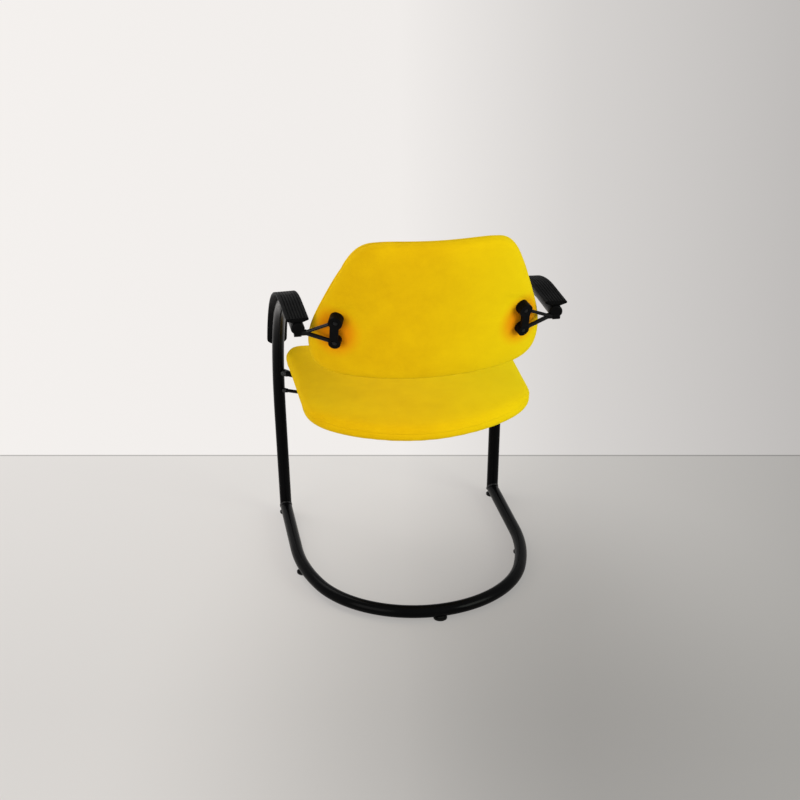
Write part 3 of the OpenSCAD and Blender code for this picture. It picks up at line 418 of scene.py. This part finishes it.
wool, tree, shader, place = new_finish("yellow felted wool")
recline, gap_shade_rise, bracket_spot = np.radians(20), 0.5661, (0.196, 0.2105, 0.65)
fuzz = step(tree, "ShaderNodeTexNoise", {"Vector": place["Object"], "Scale": 1900.0, "Detail": 4.0,
                                         "Roughness": 0.7})
wander = step(tree, "ShaderNodeTexNoise", {"Vector": place["Object"], "Scale": 240.0, "Detail": 2.0})
drift = step(tree, "ShaderNodeVectorMath", {0: wander["Color"], 1: (0.0011, 0.0011, 0.0)}, operation="MULTIPLY")
threads = step(tree, "ShaderNodeVectorMath", {0: place["UV"], 1: drift["Vector"]}, operation="ADD")
turns = step(tree, "ShaderNodeVectorMath", {0: threads["Vector"], 1: (4400.0, 4400.0, 0.0)}, operation="MULTIPLY")
waves = step(tree, "ShaderNodeVectorMath", {0: turns["Vector"]}, operation="SINE")
lay = step(tree, "ShaderNodeSeparateXYZ", {"Vector": waves["Vector"]})
crossing = step(tree, "ShaderNodeMath", {0: lay["X"], 1: lay["Y"]}, operation="MULTIPLY")
weave = step(tree, "ShaderNodeMath", {0: crossing["Value"], 1: 0.5, 2: 0.5}, operation="MULTIPLY_ADD")
mottle = step(tree, "ShaderNodeTexNoise", {"Vector": place["Object"], "Scale": 14.0, "Detail": 6.0,
                                           "Roughness": 0.72})
yarn = step(tree, "ShaderNodeMath", {0: fuzz["Fac"], 1: 0.6, 2: mottle["Fac"]}, operation="MULTIPLY_ADD")
shade = step(tree, "ShaderNodeMath", {0: weave["Value"], 1: 0.25, 2: yarn["Value"]}, operation="MULTIPLY_ADD")
depth = step(tree, "ShaderNodeMapRange", {"Value": shade["Value"], "From Min": 0.5, "From Max": 1.3})
dyed = blend_colours(tree, depth["Result"], (0.66, 0.36, 0.0008), (0.84, 0.525, 0.0015))
# Painted light on the wool: it is painted lemon towards the sitter's right, a painted lit side. It is painted
# orange round the brackets, their painted shadow, and darker along the back's lower edge, a painted shade in the
# gap over the seat.
axes = step(tree, "ShaderNodeSeparateXYZ", {"Vector": place["Object"]})
painted_lit_side = step(tree, "ShaderNodeMapRange", {"Value": axes["X"], "From Min": 0.1, "From Max": -0.27, "To Max": 0.6},
             interpolation_type="SMOOTHSTEP")
lit_side_colour = step(tree, "ShaderNodeMix", {"Factor": painted_lit_side["Result"], 6: dyed, 7: (0.82, 0.66, 0.0015, 1)},
             data_type="RGBA")
# Painted shadow of the brackets: the wool is painted deep orange within a few centimetres of each bracket.
mirrored = step(tree, "ShaderNodeVectorMath", {0: place["Object"]}, operation="ABSOLUTE")
beside = step(tree, "ShaderNodeVectorMath", {0: mirrored["Vector"], 1: bracket_spot}, operation="SUBTRACT")
scaled_offset = step(tree, "ShaderNodeVectorMath", {0: beside["Vector"], 1: (28.0, 28.0, 24.0)}, operation="MULTIPLY")
from_bracket = step(tree, "ShaderNodeVectorMath", {0: scaled_offset["Vector"]}, operation="LENGTH")
painted_bracket_shadow = step(tree, "ShaderNodeMapRange", {"Value": from_bracket["Value"], "From Min": 1.75, "From Max": 0.6,
                                              "To Max": 0.9}, interpolation_type="SMOOTHSTEP")
bracket_shadow_colour = step(tree, "ShaderNodeMix", {"Factor": painted_bracket_shadow["Result"], 6: lit_side_colour[2],
                                            7: (0.8, 0.22, 0.0008, 1)}, data_type="RGBA")
# Painted shade: the wool is painted dark brown in a narrow band along the back's lower edge, above the seat.
up_back = step(tree, "ShaderNodeVectorMath", {0: place["Object"], 1: (0.0, np.sin(recline), np.cos(recline))},
               operation="DOT_PRODUCT")
from_gap_line = step(tree, "ShaderNodeMath", {0: up_back["Value"], 1: gap_shade_rise}, operation="SUBTRACT")
gap_line_distance = step(tree, "ShaderNodeMath", {0: from_gap_line["Value"]}, operation="ABSOLUTE")
painted_gap_shade = step(tree, "ShaderNodeMapRange", {"Value": gap_line_distance["Value"], "From Min": 0.011, "From Max": 0.0,
                                           "To Max": 0.75}, interpolation_type="SMOOTHSTEP")
wool_colour = step(tree, "ShaderNodeMix", {"Factor": painted_gap_shade["Result"], 6: bracket_shadow_colour[2],
                                           7: (0.48, 0.19, 0.0006, 1)}, data_type="RGBA")
tree.links.new(wool_colour[2], shader.inputs["Base Color"])
shader.inputs["Roughness"].default_value = 0.85
shader.inputs["Specular IOR Level"].default_value = 0.06
shader.inputs["Sheen Weight"].default_value = 0.32
shader.inputs["Sheen Roughness"].default_value = 0.45
shader.inputs["Sheen Tint"].default_value = (0.85, 1, 0.02, 1)
nap = step(tree, "ShaderNodeMath", {0: fuzz["Fac"], 1: 0.7, 2: weave["Value"]}, operation="MULTIPLY_ADD")
raised = step(tree, "ShaderNodeBump", {"Height": nap["Value"], "Strength": 0.45, "Distance": 0.00035})
tree.links.new(raised["Normal"], shader.inputs["Normal"])

seam_rise, top_crown, low_crown, shell_face, roll_rise, roll_start = 0.032, 0.0295, 0.031, 0.002, 0.018, 0.4
stapled_share, low_dome_share, seam_share = 0.93, 0.82, 0.9999
across, cut_across = even_shares(0.254, seam_rise, rows=42)
along, cut_along = even_shares(0.216, seam_rise, rows=36)
x, y, share = outline_grid(across, along, low_power=9, high_power=9)
crown = (1 - share**4) ** 0.25
top_numbers, low_numbers = shared_border(*x.shape)
low_rise = np.where(share > low_dome_share, seam_rise - low_crown * crown, shell_face)
front_roll = roll_rise * crown * np.clip(((1 + y) / 2 - roll_start) / (1 - roll_start), 0, 1) ** 2
points = np.concatenate([
    seat_place(x, y, seam_rise + top_crown * crown + front_roll).reshape(-1, 3),
    seat_place(x, y, low_rise)[1:-1, 1:-1].reshape(-1, 3),
])
cut = np.stack(np.meshgrid(cut_across, cut_along), axis=-1)
cut = np.concatenate([cut.reshape(-1, 2), cut[1:-1, 1:-1].reshape(-1, 2)])
held = np.zeros(len(points))
held[low_numbers[share < stapled_share]] = 1
held[top_numbers[share > seam_share]] = 0.7
faces = [grid_faces(top_numbers), grid_faces(low_numbers, True)]
points = blow_up("seat_trial", points, faces, held, pressure=4.0, cap=0.0045)
sew(points, top_numbers, depth=0.0016)
seat = new_piece("seat_cushion_cover", points, faces, wool, cut)
finish_cushion(seat, "frame", "seat_cushion")

# Arm ends, pivots and brackets. Moulded plastic plugs close the arm tubes, each with a barrel under
# it for the back's pivot, a bearing bush in the barrel and a cap over the pin.
moulded, tree, shader, place = new_finish("satin moulded plastic")
skin = step(tree, "ShaderNodeGroup", {"Vector": place["Object"], "Scale": 1100.0}, node_tree=fine_grain)
handling = step(tree, "ShaderNodeTexNoise", {"Vector": place["Object"], "Scale": 60.0, "Detail": 5.0})
moulded_tone = blend_colours(tree, handling["Fac"], (0.0012, 0.0012, 0.0014), (0.0045, 0.0045, 0.0048))
tree.links.new(moulded_tone, shader.inputs["Base Color"])
shader.inputs["Specular IOR Level"].default_value = 0.03
sheen = step(tree, "ShaderNodeMapRange", {"Value": handling["Fac"], "To Min": 0.28, "To Max": 0.5})
tree.links.new(sheen["Result"], shader.inputs["Roughness"])
tree.links.new(skin["Normal"], shader.inputs["Normal"])
dress(moulded, "left_arm_end", "right_arm_end", "pivot_caps", "left_back_bracket", "right_back_bracket")

bearing, tree, shader, place = new_finish("graphite bearing plastic")
speckle = step(tree, "ShaderNodeTexNoise", {"Vector": place["Object"], "Scale": 1300.0, "Detail": 3.0})
graphite_tone = blend_colours(tree, speckle["Fac"], (0.004, 0.004, 0.0045), (0.012, 0.012, 0.013))
tree.links.new(graphite_tone, shader.inputs["Base Color"])
shader.inputs["Roughness"].default_value = 0.45
shader.inputs["Specular IOR Level"].default_value = 0.08
dress(bearing, "left_pivot_bush", "right_pivot_bush")

# V-shaped link rods. Round steel rods welded to a boss, and dipped in a glossy black enamel that
# catches a bright line along each.
enamel, tree, shader, place = new_finish("glossy black enamel")
runs = step(tree, "ShaderNodeTexNoise", {"Vector": place["Object"], "Scale": 90.0, "Detail": 4.0})
enamel_tone = blend_colours(tree, runs["Fac"], (0.0015, 0.0015, 0.0017), (0.005, 0.005, 0.0055))
tree.links.new(enamel_tone, shader.inputs["Base Color"])
shader.inputs["Specular IOR Level"].default_value = 0.16
lustre = step(tree, "ShaderNodeMapRange", {"Value": runs["Fac"], "To Min": 0.1, "To Max": 0.24})
tree.links.new(lustre["Result"], shader.inputs["Roughness"])
dress(enamel, "left_link_rod", "right_link_rod")


# Back cushion. Two foam halves on either side of the plywood shell, each under its own panel of
# the same wool, with the panels' seam round the rim. The brackets press into the rear panel.
back_half_h = 0.1706


def back_place(x, y, offset, shell=None):
    """Place on the back for shares across and up, and an offset behind its middle surface. The half width tapers
    from its widest place to the top and the bottom, the surface curves round the sitter along a circle and bows
    in at the loins by a parabola, and the top edge arches. Where shell is given, it is the depth behind the
    plain circle instead."""
    low_y, low_z, high, bend_r, loin_bow, arch = 0.1763, 0.5383, 2 * back_half_h, 0.56, 0.008, 0.004
    wide, wide_rise, top_taper, low_taper, ease = 0.2478, 0.0909, 0.0921, 0.0052, 0.04
    w = high / 2 * (1 + y)
    ramp_up = ((w - wide_rise) + np.sqrt((w - wide_rise) ** 2 + ease**2)) / 2
    ramp_down = ((wide_rise - w) + np.sqrt((wide_rise - w) ** 2 + ease**2)) / 2
    u = (wide - top_taper * ramp_up / (high - wide_rise) - low_taper * ramp_down / wide_rise) * x
    n = np.sqrt(bend_r**2 - u**2) - bend_r + loin_bow * y**2 + offset
    up = w + arch * (1 - (u / wide) ** 2) * w / high
    if shell is not None:
        n, up = np.sqrt((bend_r + shell) ** 2 - u**2) - bend_r, w
    return np.stack([u, low_y + up * np.sin(recline) + n * np.cos(recline),
                     low_z + up * np.cos(recline) - n * np.sin(recline)], axis=-1)


foam_t, press_depth, press_reach = 0.0255, 0.0035, 0.009
lobe_x, lobes_rise, lobe_lead, upper_r, lower_r = 0.1929, 0.1245, 0.026, 0.01475, 0.01275
rim_half_t, press_gap, inner_start, inner_ease = 0.028, 0.002, 0.88, 0.05
across, cut_across = even_shares(0.24, rim_half_t, rows=40)
along, cut_along = even_shares(back_half_h, rim_half_t, rows=29)
x, y, share = outline_grid(across, along, low_power=8, high_power=6.65)
crown = (1 - share**4) ** 0.25
rear_numbers, front_numbers = shared_border(*x.shape)
rear = back_place(x, y, foam_t * crown)
front = back_place(x, y, -foam_t * crown)
up_and_down = ((lobe_lead, upper_r), (-lobe_lead, lower_r))
lobes = np.array([[side * lobe_x, lobes_rise + lead, lobe_r] for side in (1, -1) for lead, lobe_r in up_and_down])
from_lobes = np.hypot(rear[..., 0, None] - lobes[:, 0], (y[..., None] + 1) * back_half_h - lobes[:, 1])
pressed = np.min(from_lobes - lobes[:, 2], axis=-1)
dent = press_depth * np.exp(-(np.maximum(pressed, 0) / press_reach) ** 2)
rear -= dent[..., None] * [0, np.cos(recline), -np.sin(recline)]
points = np.concatenate([rear.reshape(-1, 3), front[1:-1, 1:-1].reshape(-1, 3)])
held = np.zeros(len(points))
held[rear_numbers[pressed < press_gap]] = 1
held[rear_numbers[share > seam_share]] = 0.8
faces = [grid_faces(rear_numbers, True), grid_faces(front_numbers)]
points = blow_up("back_trial", points, faces, held, pressure=4.0, cap=0.0035)
sew(points, rear_numbers, depth=0.0008)
cut = np.stack(np.meshgrid(cut_across, cut_along), axis=-1).reshape(-1, 2)
shell_share = np.clip((share - inner_start) / inner_ease, 0, 1)[..., None]
for name, numbers, depth, skin_gap in (("back_rear_cushion", rear_numbers, 0.0172, 0.0003),
                                       ("back_front_cushion", front_numbers, 0.0037, -0.0003)):
    outer = points[numbers]
    inner = back_place(x, y, skin_gap) * shell_share + back_place(x, y, 0, shell=depth) * (1 - shell_share)
    outside, inside = shared_border(*x.shape)
    both = np.concatenate([outer.reshape(-1, 3), inner[1:-1, 1:-1].reshape(-1, 3)])
    half_cut = np.concatenate([cut, cut.reshape(*x.shape, 2)[1:-1, 1:-1].reshape(-1, 2)])
    flip = name == "back_rear_cushion"
    faces = [grid_faces(outside, flip), grid_faces(inside, not flip)]
    half = new_piece(name + "_cover", both, faces, wool, half_cut)
    finish_cushion(half, "backrest", name)

# Floor and backdrop. One pale sheet, lighter beyond a thin dark joint in front of the chair, where
# the floor meets the wall, with painted light that falls off towards the right of the view and
# towards the camera, and a painted shadow of the chair between the camera and the chair.
floor_paint, tree, shader, place = new_finish("pale studio floor")
joint_place, joint_fade, out_from_wall = -0.575, 0.003, (0.19053, 0.98168, 0.0)
fan_setback, least_depth, fan_half_w = 0.68, 2.9, 0.26
chair_shadow_spot, chair_shadow_stretch, chair_shadow_reach = (0.2, 2.25, 0.0), (2.0, 1.25, 0.0), 1.6
standing = step(tree, "ShaderNodeVectorMath", {0: place["Object"], 1: (camera_spot[0], camera_spot[1], 0.0)},
                operation="SUBTRACT")
sideways = step(tree, "ShaderNodeVectorMath", {0: standing["Vector"], 1: tuple(level)}, operation="DOT_PRODUCT")
distance = step(tree, "ShaderNodeVectorMath", {0: standing["Vector"], 1: (-behind[0], -behind[1], 0.0)},
                operation="DOT_PRODUCT")
deeper = step(tree, "ShaderNodeMath", {0: distance["Value"], 1: fan_setback}, operation="ADD")
kept_deep = step(tree, "ShaderNodeMath", {0: deeper["Value"], 1: least_depth}, operation="MAXIMUM")
fan = step(tree, "ShaderNodeMath", {0: sideways["Value"], 1: kept_deep["Value"]}, operation="DIVIDE")
spread = step(tree, "ShaderNodeMapRange", {"Value": fan["Value"], "From Min": -fan_half_w,
                                           "From Max": fan_half_w})
# Painted light: the sheet is painted darker towards the right of the view, as light falling off.
painted_light_falloff = tree.nodes.new("ShaderNodeValToRGB")
tree.links.new(spread["Result"], painted_light_falloff.inputs["Fac"])
for stop in (0.5, 0.72):
    painted_light_falloff.color_ramp.elements.new(stop)
for element, grey in zip(painted_light_falloff.color_ramp.elements, (0.905, 0.875, 0.67, 0.52)):
    element.color = (grey, grey * 0.968, grey * 0.944, 1)
ahead = step(tree, "ShaderNodeVectorMath", {0: place["Object"], 1: out_from_wall}, operation="DOT_PRODUCT")
beyond = step(tree, "ShaderNodeMapRange", {"Value": ahead["Value"], "From Min": joint_place + joint_fade,
                                           "From Max": joint_place - joint_fade})
# Painted light: the floor is painted darker from the joint towards the camera.
painted_near_falloff = step(tree, "ShaderNodeMapRange", {"Value": ahead["Value"], "From Min": joint_place, "From Max": 0.6,
                                           "To Min": 0.845, "To Max": 0.74})
# Painted shadow of the chair: a soft dark patch on the floor between the camera and the chair.
spot = step(tree, "ShaderNodeCombineXYZ", {"X": sideways["Value"], "Y": distance["Value"]})
from_spot = step(tree, "ShaderNodeVectorMath", {0: spot["Vector"], 1: chair_shadow_spot}, operation="SUBTRACT")
stretched = step(tree, "ShaderNodeVectorMath", {0: from_spot["Vector"], 1: chair_shadow_stretch}, operation="MULTIPLY")
out_of_shade = step(tree, "ShaderNodeVectorMath", {0: stretched["Vector"]}, operation="LENGTH")
shade = step(tree, "ShaderNodeMapRange", {"Value": out_of_shade["Value"], "From Min": 0.0, "From Max": chair_shadow_reach,
                                          "To Min": 0.67, "To Max": 1.0}, interpolation_type="SMOOTHSTEP")
from_joint = step(tree, "ShaderNodeMath", {0: ahead["Value"], 1: joint_place + joint_fade}, operation="SUBTRACT")
joint_gap = step(tree, "ShaderNodeMath", {0: from_joint["Value"]}, operation="ABSOLUTE")
joint = step(tree, "ShaderNodeMapRange", {"Value": joint_gap["Value"], "From Min": 0.0028, "From Max": 0.004,
                                          "To Min": 0.6, "To Max": 1.0})
with_chair_shadow = step(tree, "ShaderNodeMath", {0: painted_near_falloff["Result"], 1: shade["Result"]}, operation="MULTIPLY")
zoned = step(tree, "ShaderNodeMix", {"Factor": beyond["Result"], "A": with_chair_shadow["Value"], "B": 1.0})
zone = step(tree, "ShaderNodeMath", {0: zoned["Result"], 1: joint["Result"]}, operation="MULTIPLY")
paint = step(tree, "ShaderNodeVectorMath", {0: painted_light_falloff.outputs["Color"], "Scale": zone["Value"]},
             operation="SCALE")
tree.links.new(paint["Vector"], shader.inputs["Base Color"])
shader.inputs["Roughness"].default_value = 0.9
shader.inputs["Specular IOR Level"].default_value = 0.0
ray = step(tree, "ShaderNodeLightPath", {})
reflected = step(tree, "ShaderNodeMath", {0: ray["Is Glossy Ray"], 1: ray["Is Transmission Ray"]},
                 operation="MAXIMUM")
watched = step(tree, "ShaderNodeMath", {0: ray["Is Camera Ray"], 1: reflected["Value"]}, operation="MAXIMUM")
own = step(tree, "ShaderNodeMapRange", {"Value": beyond["Result"], "To Min": 0.6, "To Max": 1.0})
glow = step(tree, "ShaderNodeMath", {0: watched["Value"], 1: own["Result"]}, operation="MULTIPLY")
even = step(tree, "ShaderNodeEmission", {"Color": paint["Vector"], "Strength": 1.0})
both = step(tree, "ShaderNodeMixShader", {0: glow["Value"], 1: shader.outputs["BSDF"], 2: even["Emission"]})
tree.links.new(both["Shader"], tree.nodes["Material Output"].inputs["Surface"])
reach = 14
corners = np.array([[-reach, -reach, 0], [reach, -reach, 0], [reach, reach, 0], [-reach, reach, 0]], float)
floor = new_piece("studio_floor", corners, [[[0, 1, 2, 3]]], floor_paint)


# Light. One broad soft lamp to the right of the camera, a weaker one to its left, one high up in
# front of the chair, and an even pale surround.
def soft_lamp(name, spot, aim, size, power, tone):
    """A square lamp of the given size that faces a point."""
    lamp = bpy.data.objects.new(name, bpy.data.lights.new(name, "AREA"))
    lamp.data.size, lamp.data.energy, lamp.data.color = size, power, tone
    away = np.array(spot, float) - np.array(aim, float)
    away /= np.linalg.norm(away)
    flat = np.cross([0, 0, 1] if abs(away[2]) < 0.99 else [0, 1, 0], away)
    flat /= np.linalg.norm(flat)
    turn = np.column_stack([flat, np.cross(away, flat), away, spot])
    lamp.matrix_world = Matrix(np.vstack([turn, [0, 0, 0, 1]]).tolist())
    bpy.context.scene.collection.objects.link(lamp)


soft_lamp("key_lamp", (-2.3, 2.1, 1.1), (0, 0, 0.5), 1.6, 60, (0.95, 1.0, 0.9))
soft_lamp("fill_lamp", (2.4, 2.0, 1.0), (0, 0, 0.5), 2.0, 38, (1.0, 0.96, 0.92))
soft_lamp("top_lamp", (0.9, -1.5, 2.6), (0, 0, 0.45), 1.8, 30, (1.0, 0.98, 0.95))
world = bpy.data.worlds.new("pale surround")
bpy.context.scene.world = world
world.use_nodes = True
sky = world.node_tree.nodes["Background"]
sky.inputs["Color"].default_value = (0.95, 0.95, 0.94, 1)
sky.inputs["Strength"].default_value = 0.6
bpy.context.scene.view_settings.view_transform = "Standard"
